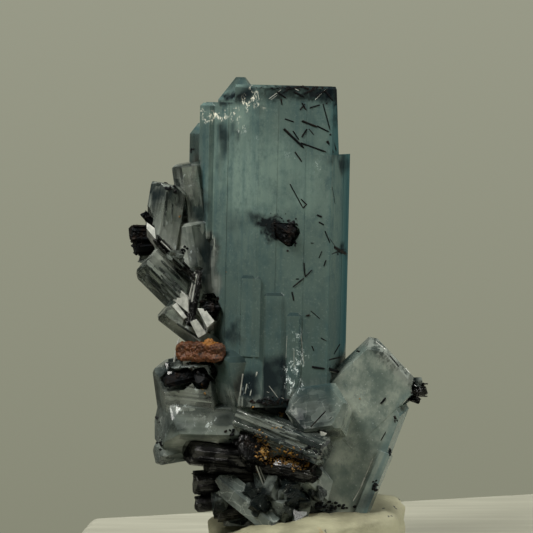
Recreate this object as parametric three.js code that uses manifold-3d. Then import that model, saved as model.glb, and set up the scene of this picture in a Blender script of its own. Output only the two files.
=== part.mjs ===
// Aquamarine with schorl: a stepped blue-grey aquamarine prism, with smaller aquamarine crystals grown
// round its foot and left side, black schorl (tourmaline) crystals set in them, one rust-coated grain,
// and the wad of putty that the specimen stands in. Millimetres, +Z up. The origin is the middle of the
// putty's flat underside, +X points to the right of the display side, and +Y points away from it.
import * as THREE from "three";
import { mergeVertices } from "three/addons/utils/BufferGeometryUtils.js";
import Module from "manifold-3d";

const wasm = await Module();
wasm.setup();

// Driving dimensions. Every crystal runs from the middle of its foot to the middle of its tip.
const SEAT_GAP = 0.3; // left between a crystal and what holds it
const BERYL_TURN = 15; // degrees that the main crystal's hexagon is turned about its long axis
const MAIN_LEAN = 0.022; // sideways drift of the main crystal per unit of height
const MAIN_WIDTH = 15.0; // main crystal across its corners
const SHOULDER_HEIGHT = 39.3; // top of the main crystal's right shoulder
const BLOCK_HEIGHT = 44.5; // top of the block at the main crystal's left
const CROWN_HEIGHT = 46.2; // top of the main crystal's crown
const PEAK_HEIGHT = 47.1; // top of the small peak behind the crown
const MAIN_FOOT = 14.5; // where the main crystal ends above the lower crystals
const PUTTY_RADII = [9.7, 8.8]; // half width and half depth of the putty
const PUTTY_HEIGHT = 4.4;
const HEX_FLATS = Math.sqrt(3) / 2; // across flats over across corners

// Repeatable random numbers from 0 to 1.
function randomFrom(seed) {
  let state = seed;
  return () => {
    state = (state + 0x6d2b79f5) | 0;
    let t = Math.imul(state ^ (state >>> 15), 1 | state);
    t = (t + Math.imul(t ^ (t >>> 7), 61 | t)) ^ t;
    return ((t ^ (t >>> 14)) >>> 0) / 4294967296;
  };
}

// A closed geometry as a solid, and a solid as a named mesh.
function solidOf(geometry, matrix = new THREE.Matrix4()) {
  const bare = geometry.clone().applyMatrix4(matrix);
  bare.deleteAttribute("normal");
  bare.deleteAttribute("uv");
  const merged = mergeVertices(bare, 1e-4);
  return new wasm.Manifold(
    new wasm.Mesh({
      numProp: 3,
      vertProperties: merged.attributes.position.array,
      triVerts: new Uint32Array(merged.index.array),
    }),
  );
}

function meshOf(name, solid, material) {
  const { vertProperties, triVerts } = solid.getMesh();
  const geometry = new THREE.BufferGeometry();
  geometry.setAttribute("position", new THREE.BufferAttribute(vertProperties, 3));
  geometry.setIndex(new THREE.BufferAttribute(triVerts, 1));
  geometry.computeVertexNormals();
  const mesh = new THREE.Mesh(geometry, material);
  mesh.name = name;
  return mesh;
}

const fuse = (solids) => solids.reduce((all, solid) => all.add(solid));

// The largest body of a solid: chips that a cut sets loose, and pockets closed in between crystals, are
// left out.
const soundPiece = (solid) => solid.decompose().reduce((a, b) => (a.volume() > b.volume() ? a : b));

// The crystal's own frame: its long axis from foot to tip is Z, turned about that axis.
function frameAlong(foot, tip, turn) {
  const axis = tip.clone().sub(foot).normalize();
  const reference = Math.abs(axis.y) > 0.8 ? new THREE.Vector3(0, 0, 1) : new THREE.Vector3(0, 1, 0);
  const side = reference.cross(axis).normalize();
  const depth = axis.clone().cross(side);
  const frame = new THREE.Matrix4().makeBasis(side, depth, axis).setPosition(foot);
  return frame.multiply(new THREE.Matrix4().makeRotationZ(THREE.MathUtils.degToRad(turn)));
}

// A prism's outline: straight sides broken into strips that lie a little in or out, as growth striations
// do. The strips next to a corner keep the full width, so that the corners stay sharp.
const STRIP_WANDER = 0.6; // how far a strip's edge may stray, as a share of the strip's width
const PROUD_SHARE = 0.4; // how far a strip stands out, as a share of how far its neighbour lies in

function striatedOutline(corners, strips, relief, random) {
  const outline = [];
  corners.forEach((start, i) => {
    const end = corners[(i + 1) % corners.length];
    const along = end.clone().sub(start);
    const inward = new THREE.Vector2(-along.y, along.x).normalize();
    const cut = (_, k) => (k + 1 + STRIP_WANDER * (random() - 0.5)) / strips;
    const edges = [0, ...Array.from({ length: strips - 1 }, cut), 1];
    for (let k = 0; k < strips; k++) {
      const atCorner = k === 0 || k === strips - 1;
      const step = atCorner ? 0 : relief * (0.4 + 0.6 * random()) * (k % 2 ? 1 : -PROUD_SHARE);
      const place = (t) => start.clone().addScaledVector(along, t).addScaledVector(inward, step);
      outline.push(place(edges[k]));
      if (k < strips - 1) outline.push(place(edges[k + 1]));
    }
  });
  return new THREE.Shape(outline);
}

// A hexagon's corners, round from the right. front is the width of its front and back sides, as a share of
// the whole width: half in an even hexagon, more in a flattened one.
function hexagonCorners([wide, deep], front) {
  const shares = [
    [1, 0],
    [front, 1],
    [-front, 1],
    [-1, 0],
    [-front, -1],
    [front, -1],
  ];
  return shares.map(([x, y]) => new THREE.Vector2((x * wide) / 2, (y * deep) / 2));
}

// One crystal: a striated six-sided prism with a flat tip whose rim is bevelled all round.
// bevel is [how far the rim comes in, how far down it starts], slant is [how far the tip's face tilts,
// towards which side] in degrees, and slack makes the crystal larger, to cut its own seat.
const PLAIN_CRYSTAL = {
  turn: 0,
  front: 0.5,
  strips: 1,
  relief: 0.1,
  bevel: [0.35, 0.3],
  slant: [0, 0],
  seed: 1,
};

function crystal(spec, slack = 0) {
  const settings = { ...PLAIN_CRYSTAL, ...spec };
  const { foot, tip, across, turn, front, strips, relief, bevel, slant, seed } = settings;
  const start = new THREE.Vector3(...foot);
  const end = new THREE.Vector3(...tip);
  const length = start.distanceTo(end);
  const size = across.map((value) => value + 2 * slack);
  const outline = striatedOutline(hexagonCorners(size, front), strips, relief, randomFrom(seed));
  const prism = new THREE.ExtrudeGeometry(outline, { depth: length + 2 * slack, bevelEnabled: false });
  prism.translate(0, 0, -slack);

  const [inset, rise] = bevel;
  const reach = length + 2 * slack + 1;
  const topRadius = size[0] / 2 - inset;
  const cap = new THREE.CylinderGeometry(topRadius, topRadius + (reach * inset) / rise, reach, 6);
  cap.rotateX(Math.PI / 2).rotateZ(Math.PI / 6);
  cap.scale(1, size[1] / (size[0] * HEX_FLATS), 1).translate(0, 0, -reach / 2);
  const [tilt, side] = slant.map(THREE.MathUtils.degToRad);
  cap.rotateX(tilt).rotateZ(side).translate(0, 0, length + slack);

  const frame = frameAlong(start, end, turn);
  return solidOf(prism, frame).intersect(solidOf(cap, frame));
}

function crystals(specs, slack = 0) {
  return fuse(specs.map((spec, i) => crystal({ seed: i + 1, ...spec }, slack)));
}

// The main crystal's parallel columns share one axis and one turn, and differ in width and height.
function column({ x, y, foot = MAIN_FOOT, top, ...rest }) {
  const at = (z) => [x + MAIN_LEAN * (z - SHOULDER_HEIGHT), y, z];
  return { foot: at(foot), tip: at(top), turn: BERYL_TURN, ...rest };
}

const MAIN_CRYSTAL = column({
  x: -2.8,
  y: 0,
  top: CROWN_HEIGHT,
  across: [MAIN_WIDTH, MAIN_WIDTH * HEX_FLATS],
  strips: 3,
  relief: 0.06,
});

// The main crystal's corners stop short of its crown at two ledges. Each has a wall that faces a compass
// angle, so far out from the long axis, and leans in towards the top.
const LEDGES = [
  { height: SHOULDER_HEIGHT, facing: 6, out: 5.6, lean: 3.5 },
  { height: BLOCK_HEIGHT, facing: 174, out: 3.9, lean: 1.5 },
];

function aboveLedge({ height, facing, out, lean }) {
  const reach = 2 * MAIN_WIDTH;
  const space = new THREE.BoxGeometry(reach, reach, reach).translate(reach / 2, 0, reach / 2);
  space.rotateY(-THREE.MathUtils.degToRad(lean)).translate(out, 0, 0);
  space.rotateZ(THREE.MathUtils.degToRad(facing));
  space.translate(MAIN_CRYSTAL.tip[0], MAIN_CRYSTAL.tip[1], height);
  return solidOf(space);
}

// Columns on the main crystal's sides: the block and a sliver at the left, a peak behind the crown, low
// steps on the two front faces, and two more at the back.
const MAIN_COLUMNS = [
  { x: -9.3, y: -1.6, foot: 31, top: BLOCK_HEIGHT, across: [2.8, 2.4] },
  { x: -8.9, y: 1.6, foot: 30, top: BLOCK_HEIGHT - 0.3, across: [3.2, 5.2], strips: 3, relief: 0.08 },
  { x: -10.5, y: 0.8, foot: 33, top: 42.5, across: [2.4, 4.6], bevel: [0.85, 1.1] },
  { x: -6.7, y: 2.8, foot: 38, top: PEAK_HEIGHT, across: [4.6, 4.4], bevel: [1.8, 2.3] },
  { x: -3.0, y: -6.45, foot: 14.8, top: 25.8, across: [3.0, 1.0] },
  { x: -0.95, y: -6.0, foot: 15.2, top: 23.8, across: [1.9, 1.0] },
  { x: -5.3, y: -6.3, foot: 19.5, top: 27.5, across: [3.1, 0.8], turn: BERYL_TURN - 60 },
  { x: -4.5, y: 5.2, foot: 11, top: 34, across: [7.4, 5.4], strips: 3 },
  { x: 1.2, y: 5.0, foot: 11, top: 26.8, across: [4.4, 4.0] },
].map(column);

// Small crystals that lean out from the main crystal's left side.
const LEFT_SPRAY = [
  { foot: [-10.2, -0.8, 26.5], tip: [-11.9, -1.6, 38.5], across: [3.1, 3.0], turn: 10 },
  { foot: [-14.9, -2.0, 28.4], tip: [-13.5, -2.3, 36.4], across: [4.1, 3.6], turn: 24, slant: [6, 90] },
  { foot: [-9.4, -2.0, 22.6], tip: [-15.9, -3.2, 29.1], across: [4.3, 4.1], turn: 20, slant: [14, 200] },
  { foot: [-8.2, -2.6, 19.5], tip: [-14.1, -3.9, 24.2], across: [2.7, 2.5], turn: 12, slant: [12, 150] },
  { foot: [-9.0, -1.4, 17.0], tip: [-11.7, -1.7, 32.6], across: [3.8, 3.6], turn: 35 },
];

// The pair at the right: a stout crystal with a flat end turned up to the right, on a steeper one whose
// front lies level with it, and a thin one at their foot.
const RIGHT_PAIR = [
  { foot: [2.4, -1.4, 12.4], tip: [9.2, -1.4, 18.8], across: [7.5, 5.8], front: 0.84, bevel: [0.7, 0.5] },
  { foot: [2.5, -1.4, 3.7], tip: [7.0, -1.4, 15.6], across: [7.2, 5.76], front: 0.8 },
  { foot: [5.1, -2.7, 3.6], tip: [7.7, -2.9, 10.0], across: [2.2, 3.4], turn: 5, slant: [8, 180] },
];

// Crystals crowded round the foot, in front and behind.
const FOOT_CROWD = [
  { foot: [-2.4, 1.0, 2.6], tip: [-3.4, 1.2, 17.5], across: [12.6, 11.0], turn: 22 },
  { foot: [-5.0, -1.0, 8.6], tip: [-7.2, -4.7, 20.2], across: [5.2, 4.6], turn: 14, slant: [16, 60] },
  { foot: [-11.0, -1.8, 10.4], tip: [-12.1, -3.5, 19.1], across: [6.6, 6.0], front: 0.7, slant: [9, 250] },
  { foot: [-4.6, -1.8, 12.4], tip: [-14.4, -4.6, 12.8], across: [5.2, 5.0], turn: 10, slant: [12, 30] },
  { foot: [-9.0, -2.8, 10.6], tip: [-14.9, -4.3, 9.7], across: [2.4, 2.2], turn: 18, slant: [20, 0] },
  { foot: [-8.7, -3.6, 7.2], tip: [-3.0, -4.9, 2.7], across: [2.9, 2.6], turn: 26, slant: [18, 90] },
  { foot: [-2.0, -1.8, 9.6], tip: [-2.6, -4.8, 2.5], across: [3.8, 3.4], turn: 9, bevel: [1.2, 1.2] },
  { foot: [3.4, -1.2, 4.4], tip: [-0.7, -5.0, 8.4], across: [3.6, 3.2], turn: 17, slant: [14, 300] },
  { foot: [-6.6, -4.4, 13.4], tip: [2.0, -8.2, 10.2], across: [3.0, 2.7], turn: 6, strips: 3 },
  { foot: [-4.0, -5.4, 11.4], tip: [1.5, -8.6, 9.5], across: [1.5, 1.4], turn: 21 },
  { foot: [1.9, -1.6, 12.8], tip: [0.9, -7.7, 14.6], across: [6.2, 4.6], turn: 9, front: 0.68 },
  { foot: [-1.6, 2.4, 5.2], tip: [3.6, 7.2, 15.4], across: [5.2, 4.6], turn: 18 },
  { foot: [-5.2, 2.6, 6.6], tip: [-9.8, 6.2, 19.0], across: [4.6, 4.2], turn: 7 },
  { foot: [1.6, 2.2, 4.4], tip: [7.6, 4.8, 11.6], across: [4.6, 4.0], turn: 25 },
];

// Schorl crystals by bunch. Those of one bunch run into each other and are one piece.
const SCHORL = {
  schorl_base_bunch: [
    { foot: [-5.8, -3.4, 9.2], tip: [-11.7, -5.6, 10.0], across: [2.2, 1.8], turn: 10 },
    { foot: [-5.2, -2.8, 8.0], tip: [-10.4, -4.6, 8.3], across: [1.5, 1.5], turn: 25 },
    { foot: [-5.6, -2.4, 7.0], tip: [-11.3, -3.8, 6.8], across: [2.9, 2.6], turn: 5 },
    { foot: [-5.2, -2.4, 5.6], tip: [-11.0, -3.7, 4.8], across: [1.9, 1.8], turn: 17 },
    { foot: [-4.4, -2.2, 4.4], tip: [-9.0, -3.3, 3.2], across: [2.2, 2.0], turn: 8 },
    { foot: [-5.4, -1.8, 8.8], tip: [-5.2, -5.8, 10.8], across: [3.2, 3.0], turn: 12 },
    { foot: [-5.0, -3.6, 8.8], tip: [1.0, -6.2, 8.0], across: [1.8, 1.6], turn: 20 },
  ],
  schorl_left_knob: [
    { foot: [-14.4, -2.2, 31.3], tip: [-17.5, -3.0, 31.4], across: [2.6, 2.3], turn: 8 },
    { foot: [-14.6, -2.4, 30.2], tip: [-17.0, -3.2, 29.9], across: [2.0, 1.9], turn: 22 },
    { foot: [-14.8, -2.6, 32.0], tip: [-16.2, -3.0, 33.7], across: [1.1, 1.1], turn: 5 },
  ],
  schorl_left_rods: [
    { foot: [-10.9, -4.3, 26.7], tip: [-15.0, -5.3, 31.0], across: [1.0, 0.9], turn: 12 },
    { foot: [-10.7, -4.0, 28.0], tip: [-11.7, -5.2, 22.5], across: [0.9, 0.8], turn: 3 },
  ],
  schorl_side_stub: [{ foot: [-9.3, -2.0, 24.1], tip: [-9.7, -5.1, 24.3], across: [1.5, 2.2], turn: 9 }],
  schorl_face_prism: [{ foot: [-5.1, -4.9, 33.4], tip: [-1.3, -6.2, 31.2], across: [1.8, 1.7], turn: 14 }],
  schorl_on_block: [
    { foot: [-9.2, -4.2, 18.2], tip: [-14.3, -6.6, 16.9], across: [1.9, 1.7], turn: 11 },
    { foot: [-10.0, -4.4, 16.8], tip: [-10.6, -6.6, 17.5], across: [1.5, 1.4], turn: 4 },
  ],
  schorl_right_corner: [
    { foot: [9.8, -2.4, 15.9], tip: [11.9, -3.2, 15.9], across: [1.6, 1.5], turn: 13 },
    { foot: [9.9, -2.6, 15.2], tip: [11.2, -3.6, 14.7], across: [1.2, 1.1], turn: 28 },
  ],
  schorl_back_bunch: [
    { foot: [-4.6, 3.2, 6.4], tip: [-9.6, 6.2, 8.4], across: [2.4, 2.2], turn: 15 },
    { foot: [-4.4, 3.0, 5.2], tip: [-8.6, 6.6, 5.4], across: [2.0, 1.8], turn: 2 },
    { foot: [-4.0, 3.4, 5.8], tip: [-5.2, 8.0, 6.6], across: [2.2, 2.0], turn: 27 },
  ],
};

// The rust-coated grain: a knobbly rod with one lump on its top.
const RUST_ENDS = [
  [-12.7, -5.4, 20.0],
  [-8.2, -6.3, 19.7],
];
const RUST_THICKNESS = 1.9;
const RUST_SWELL = [0.88, 1.1]; // least and most of that thickness, from point to point
const RUST_LUMP = { at: [-9.6, -6.1, 20.7], radius: 0.55 };

function rustyGrain(slack = 0) {
  const random = randomFrom(7);
  const [start, end] = RUST_ENDS.map((point) => new THREE.Vector3(...point));
  const length = start.distanceTo(end);
  const rod = new THREE.CapsuleGeometry(RUST_THICKNESS / 2 + slack, length - RUST_THICKNESS, 3, 12, 5);
  rod.rotateX(Math.PI / 2).translate(0, 0, length / 2);
  const lump = new THREE.IcosahedronGeometry(RUST_LUMP.radius + slack, 1).translate(...RUST_LUMP.at);
  const roughened = mergeVertices(rod.deleteAttribute("normal").deleteAttribute("uv"), 1e-4);
  const points = roughened.attributes.position;
  for (let i = 0; i < points.count; i++) {
    const swell = THREE.MathUtils.lerp(...RUST_SWELL, random());
    points.setXY(i, points.getX(i) * swell, points.getY(i) * swell);
  }
  return solidOf(roughened, frameAlong(start, end, 0)).add(solidOf(lump));
}

// The putty: a flattened wad, higher at the right and back, with a flat underside and the specimen's
// print in it. It is turned at unit size, its wall bulging out past the edge of its underside, and then
// kneaded out of round.
const UNDERSIDE_RADIUS = 0.9;

function putty(print) {
  const [halfWidth, halfDepth] = PUTTY_RADII;
  const profile = [new THREE.Vector2(0, 0), new THREE.Vector2(UNDERSIDE_RADIUS, 0)];
  const bulge = new THREE.EllipseCurve(UNDERSIDE_RADIUS, 0.5, 1 - UNDERSIDE_RADIUS, 0.5);
  bulge.aStartAngle = -Math.PI / 2;
  bulge.aEndAngle = Math.PI / 2;
  profile.push(...bulge.getPoints(6).slice(1), new THREE.Vector2(0.5, 1.04), new THREE.Vector2(0, 1));
  const wad = new THREE.LatheGeometry(profile, 30).rotateX(Math.PI / 2);
  wad.deleteAttribute("normal").deleteAttribute("uv");
  const shaped = mergeVertices(wad, 1e-4);
  const points = shaped.attributes.position;
  for (let i = 0; i < points.count; i++) {
    const [x, y, z] = [points.getX(i), points.getY(i), points.getZ(i)];
    const angle = Math.atan2(y, x);
    const thumbMarks = 1 + 0.025 * Math.sin(3 * angle + 1) + 0.015 * Math.sin(7 * angle);
    const slope = 1 + 0.16 * x + 0.12 * y + 0.05 * Math.sin(5 * angle) * Math.hypot(x, y);
    points.setXYZ(i, x * halfWidth * thumbMarks, y * halfDepth * thumbMarks, z * PUTTY_HEIGHT * slope);
  }
  return soundPiece(solidOf(shaped).subtract(print));
}

// Materials, with the colours that the display side shows.
const AQUAMARINE_GLASS = new THREE.MeshPhysicalMaterial({
  color: 0x9dbcbf,
  roughness: 0.12,
  metalness: 0,
  transmission: 0.8,
  ior: 1.58,
});
const SCHORL_BLACK = new THREE.MeshStandardMaterial({ color: 0x15161a, roughness: 0.3, metalness: 0 });
const RUST_BROWN = new THREE.MeshStandardMaterial({ color: 0x8a4a2a, roughness: 0.8, metalness: 0 });
const PUTTY_CREAM = new THREE.MeshStandardMaterial({ color: 0xc6bf9f, roughness: 0.9, metalness: 0 });

// Assembly: every aquamarine crystal runs into its neighbours, so they are one solid with seats for the
// rest.
const ledgeCut = (solid, ledge) => solid.subtract(aboveLedge(ledge));
const mainPrism = LEDGES.reduce(ledgeCut, crystal(MAIN_CRYSTAL));
const footCrystals = [...RIGHT_PAIR, ...FOOT_CROWD];
const grownTogether = mainPrism.add(crystals([...MAIN_COLUMNS, ...LEFT_SPRAY, ...footCrystals]));
const schorlSeats = fuse(Object.values(SCHORL).map((bunch) => crystals(bunch, SEAT_GAP)));
const beryl = soundPiece(grownTogether.subtract(schorlSeats).subtract(rustyGrain(SEAT_GAP)));
const print = crystals(footCrystals, SEAT_GAP).add(schorlSeats);

const specimen = new THREE.Group();
specimen.add(meshOf("aquamarine", beryl, AQUAMARINE_GLASS));
for (const [name, bunch] of Object.entries(SCHORL)) {
  specimen.add(meshOf(name, crystals(bunch), SCHORL_BLACK));
}
specimen.add(meshOf("rusty_grain", rustyGrain(), RUST_BROWN));
specimen.add(meshOf("putty", putty(print), PUTTY_CREAM));

export default specimen;
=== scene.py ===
import math
import random

import bpy
from mathutils import Matrix, Vector, noise
from mathutils.bvhtree import BVHTree


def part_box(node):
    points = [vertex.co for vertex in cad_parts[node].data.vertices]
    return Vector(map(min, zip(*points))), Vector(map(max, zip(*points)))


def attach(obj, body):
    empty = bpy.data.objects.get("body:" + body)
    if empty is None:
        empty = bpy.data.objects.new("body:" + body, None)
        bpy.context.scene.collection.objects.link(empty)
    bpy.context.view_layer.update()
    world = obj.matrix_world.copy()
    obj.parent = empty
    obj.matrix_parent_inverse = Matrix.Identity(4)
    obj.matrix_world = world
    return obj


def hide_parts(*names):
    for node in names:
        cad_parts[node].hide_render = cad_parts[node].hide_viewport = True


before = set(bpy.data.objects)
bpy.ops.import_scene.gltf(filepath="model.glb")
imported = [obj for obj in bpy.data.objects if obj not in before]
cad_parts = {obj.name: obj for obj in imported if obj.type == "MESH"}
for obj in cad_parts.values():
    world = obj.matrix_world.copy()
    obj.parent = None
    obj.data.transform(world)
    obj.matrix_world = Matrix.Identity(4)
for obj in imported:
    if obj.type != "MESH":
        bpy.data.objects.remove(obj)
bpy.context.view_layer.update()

scene = bpy.context.scene
MM = 0.001

# Camera: a long lens at the display side, aimed at the main crystal and looking slightly down. The picture
# is 53.3 mm across where the specimen stands.
PICTURE_WIDTH = 53.3
PICTURE_CENTRE = Vector((-3.95, 0.0, 28.15))
CAMERA_DISTANCE = 400.0
CAMERA_ELEVATION = math.radians(2.0)

backwards = Vector((0.0, -math.cos(CAMERA_ELEVATION), math.sin(CAMERA_ELEVATION)))
eye = PICTURE_CENTRE + backwards * CAMERA_DISTANCE
camera_data = bpy.data.cameras.new("camera")
camera_data.lens = camera_data.sensor_width * CAMERA_DISTANCE / PICTURE_WIDTH
camera_data.clip_start = 0.01
camera_data.clip_end = 10.0
camera = bpy.data.objects.new("camera", camera_data)
scene.collection.objects.link(camera)
camera.location = eye * MM
camera.rotation_euler = (-backwards).to_track_quat("-Z", "Y").to_euler()
scene.camera = camera

# Light: a large soft lamp at the upper left, a weaker one at the right and one overhead. The backdrop is
# olive-grey, and the room is dimmer in front and dark overhead, so that the faces mirror light and dark.
HORIZON_GREY = (0.318, 0.324, 0.247)
LOW_GREY = (0.235, 0.240, 0.175)
OVERHEAD_GREY = (0.030, 0.032, 0.030)
ROOM_DIMNESS = 0.42
LAMP_TINT = (1.0, 0.985, 0.93)
LAMPS = {
    "key_lamp": ((-170.0, -170.0, 300.0), 150.0, 1.6, True),
    "side_lamp": ((260.0, -110.0, 170.0), 110.0, 0.65, True),
    "top_lamp": ((-20.0, 60.0, 330.0), 140.0, 1.0, False),
}

for name, (place, size, watts, mirrored) in LAMPS.items():
    lamp_data = bpy.data.lights.new(name, "AREA")
    lamp_data.shape = "DISK"
    lamp_data.size = size * MM
    lamp_data.energy = watts
    lamp_data.color = LAMP_TINT
    lamp = bpy.data.objects.new(name, lamp_data)
    scene.collection.objects.link(lamp)
    lamp.location = Vector(place) * MM
    aim = PICTURE_CENTRE - Vector(place)
    lamp.rotation_euler = aim.to_track_quat("-Z", "Y").to_euler()
    lamp.visible_camera = False
    lamp.visible_glossy = mirrored


class Value:
    """A node's output that takes part in Python sums: each operator adds a Math node to the same tree."""

    def __init__(self, tree, socket):
        self.tree = tree
        self.socket = socket

    def math(self, operation, first, second):
        return self.tree.node("ShaderNodeMath", {"operation": operation}, {0: first, 1: second})

    def __add__(self, other):
        return self.math("ADD", self, other)

    def __sub__(self, other):
        return self.math("SUBTRACT", self, other)

    def __rsub__(self, other):
        return self.math("SUBTRACT", other, self)

    def __mul__(self, other):
        return self.math("MULTIPLY", self, other)

    __radd__ = __add__
    __rmul__ = __mul__

    def between(self, low, high):
        """0 at low, 1 at high, and smooth between."""
        settings = {"interpolation_type": "SMOOTHSTEP"}
        sockets = {"Value": self, "From Min": low, "From Max": high}
        return self.tree.node("ShaderNodeMapRange", settings, sockets)


class Tree:
    """A node tree filled from Python: node() makes any node and gives its first output, or the one named."""

    def __init__(self, owner):
        owner.use_nodes = True
        self.owner = owner
        self.nodes = owner.node_tree.nodes
        self.links = owner.node_tree.links
        self.nodes.clear()

    def node(self, kind, settings, sockets, output=0):
        made = self.nodes.new(kind)
        for name, setting in settings.items():
            if name == "stops":
                elements = made.color_ramp.elements
                while len(elements) < len(setting):
                    elements.new(1.0)
                for element, (position, colour) in zip(elements, setting):
                    element.position = position
                    element.color = (*colour, 1.0)
            else:
                setattr(made, name, setting)
        for name, value in sockets.items():
            socket = made.inputs[name]
            if isinstance(value, Value):
                self.links.new(value.socket, socket)
            elif socket.type == "RGBA":
                socket.default_value = (*value, 1.0)
            else:
                socket.default_value = value
        return Value(self, made.outputs[output]) if made.outputs else None

    def mix(self, factor, first, second):
        return self.node("ShaderNodeMix", {"data_type": "RGBA"}, {0: factor, 6: first, 7: second}, 2)

    def place(self):
        return self.node("ShaderNodeTexCoord", {}, {}, "Object")

    def vector(self, operation, first, second):
        return self.node("ShaderNodeVectorMath", {"operation": operation}, {0: first, 1: second})

    def noise(self, vector, scale, detail=3.0, roughness=0.55, output=0):
        sockets = {"Vector": vector, "Scale": scale, "Detail": detail, "Roughness": roughness}
        return self.node("ShaderNodeTexNoise", {}, sockets, output)

    def axes(self, vector):
        return [self.node("ShaderNodeSeparateXYZ", {}, {"Vector": vector}, axis) for axis in "XYZ"]

    def painted(self, name):
        """The three channels of a colour attribute."""
        colour = self.node("ShaderNodeAttribute", {"attribute_name": name}, {}, "Color")
        parts = ("Red", "Green", "Blue")
        return [self.node("ShaderNodeSeparateColor", {}, {"Color": colour}, part) for part in parts]

    def cells(self, vector):
        """A random number and a colour for each cell, about 1 across, of a square-edged mosaic."""
        sockets = {"Vector": vector, "Scale": 1.0}
        colour = self.node("ShaderNodeTexVoronoi", {"distance": "CHEBYCHEV"}, sockets, "Color")
        return self.node("ShaderNodeSeparateColor", {}, {"Color": colour}, "Red"), colour

    def bump(self, height, distance, normal=None):
        sockets = {"Height": height, "Distance": distance, "Strength": 1.0}
        if normal:
            sockets["Normal"] = normal
        return self.node("ShaderNodeBump", {}, sockets)

    def surface(self, skin, **volume):
        self.node("ShaderNodeOutputMaterial", {}, {"Surface": skin, **volume})


room = Tree(bpy.data.worlds.new("room"))
scene.world = room.owner
direction = room.node("ShaderNodeTexCoord", {}, {}, "Generated")
_, northing, elevation = room.axes(direction)
SKY_STOPS = [
    (0.0, LOW_GREY),
    (0.44, LOW_GREY),
    (0.52, HORIZON_GREY),
    (0.60, HORIZON_GREY),
    (0.78, OVERHEAD_GREY),
]
sky = room.node("ShaderNodeValToRGB", {"stops": SKY_STOPS}, {"Fac": elevation * 0.5 + 0.5})
brightness = northing.between(0.88, 0.985) * (1 - ROOM_DIMNESS) + ROOM_DIMNESS
shine = room.node("ShaderNodeBackground", {}, {"Color": sky, "Strength": brightness})
room.node("ShaderNodeOutputWorld", {}, {"Surface": shine})

scene.view_settings.view_transform = "Standard"
scene.cycles.use_denoising = True
scene.cycles.max_bounces = 24
scene.cycles.transmission_bounces = 24
scene.cycles.glossy_bounces = 10
scene.cycles.sample_clamp_indirect = 4.0

# Floor: the plain pale slab that the putty rests on, faintly streaked. Its edges are softened, and its back
# edge runs away to the right.
FLOOR_CORNERS = {(-1, -1): (-27, -70), (1, -1): (62, -70), (1, 1): (62, 80), (-1, 1): (-23.2, 30)}
FLOOR_THICKNESS = 14.0
FLOOR_ROUNDING = 1.2
SLAB_TINTS = ((0.275, 0.275, 0.222), (0.335, 0.334, 0.272))


def pick(piece):
    """Makes one object the active and only selected one."""
    bpy.ops.object.select_all(action="DESELECT")
    piece.select_set(True)
    bpy.context.view_layer.objects.active = piece


def added(name, primitive, **sizes):
    """A new primitive, alone in the selection."""
    bpy.ops.object.select_all(action="DESELECT")
    primitive(**sizes)
    bpy.context.object.name = name
    return bpy.context.object


floor = added("floor", bpy.ops.mesh.primitive_cube_add, size=2.0)
for vertex in floor.data.vertices:
    x, y = FLOOR_CORNERS[(round(vertex.co.x), round(vertex.co.y))]
    vertex.co = Vector((x, y, 0.0 if vertex.co.z > 0 else -FLOOR_THICKNESS)) * MM
rounding = floor.modifiers.new("rounding", "BEVEL")
rounding.width = FLOOR_ROUNDING * MM
rounding.segments = 4
bpy.ops.object.modifier_apply(modifier="rounding")
bpy.ops.object.shade_smooth_by_angle(angle=math.radians(30))

slab = Tree(bpy.data.materials.new("pale_floor"))
streaks = slab.noise(slab.vector("MULTIPLY", slab.place(), (60, 400, 400)), 1.0)
slab_colour = slab.mix(streaks.between(0.35, 0.7), *SLAB_TINTS)
slab.surface(slab.node("ShaderNodeBsdfPrincipled", {}, {"Base Color": slab_colour, "Roughness": 0.45}))
floor.data.materials.append(slab.owner)

# Putty: the soft cream wad that the specimen's foot is pressed into. It is kneaded by hand, so it is lumpy
# and thumbed round its side, higher at the right and back, and dirty with dark and rusty specks.
PUTTY_RADII = (9.7, 8.8)
PUTTY_HEIGHT = 4.4
PUTTY_SQUARENESS = 0.5
PUTTY_LUMPS = ((0.30, 0.40), (0.75, 0.24), (2.1, 0.08))
PUTTY_WAVES = ((3, 1.0, 0.025), (7, 0.0, 0.015))
PUTTY_LEAN = (0.29, 0.12)
PUTTY_ROUNDING = 0.09
PUTTY_THUMBING = 0.05
PUTTY_FRONT_DIP = 0.16
PUTTY_LIP = 0.08
CREAM_TINTS = ((0.150, 0.145, 0.090), (0.350, 0.342, 0.226))
CREAM_PAINTED_LIGHT = (0.44, 0.43, 0.30)
CREAM_RUSTY = (0.30, 0.19, 0.07)
CREAM_DIRT = (0.05, 0.05, 0.05)


def dress(piece, material, slot, *nodes):
    """Gives a finished piece its material, its body and the solids that it stands for. The slot is not used.
    """
    piece.data.materials.clear()
    piece.data.materials.append(material)
    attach(piece, "root")
    if nodes:
        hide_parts(*nodes)


def ramp(value, low, high):
    """0 at low, 1 at high, and smooth between."""
    rise = max(0.0, min(1.0, (value - low) / (high - low)))
    return rise * rise * (3 - 2 * rise)


def squared(value):
    return math.copysign(abs(value) ** PUTTY_SQUARENESS, value)


def pushed(point, lumps):
    """How far a lumpy skin is pushed out at a point: each row of lumps is a pitch and a depth."""
    return sum(depth * noise.noise(point * pitch) for pitch, depth in lumps)


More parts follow.
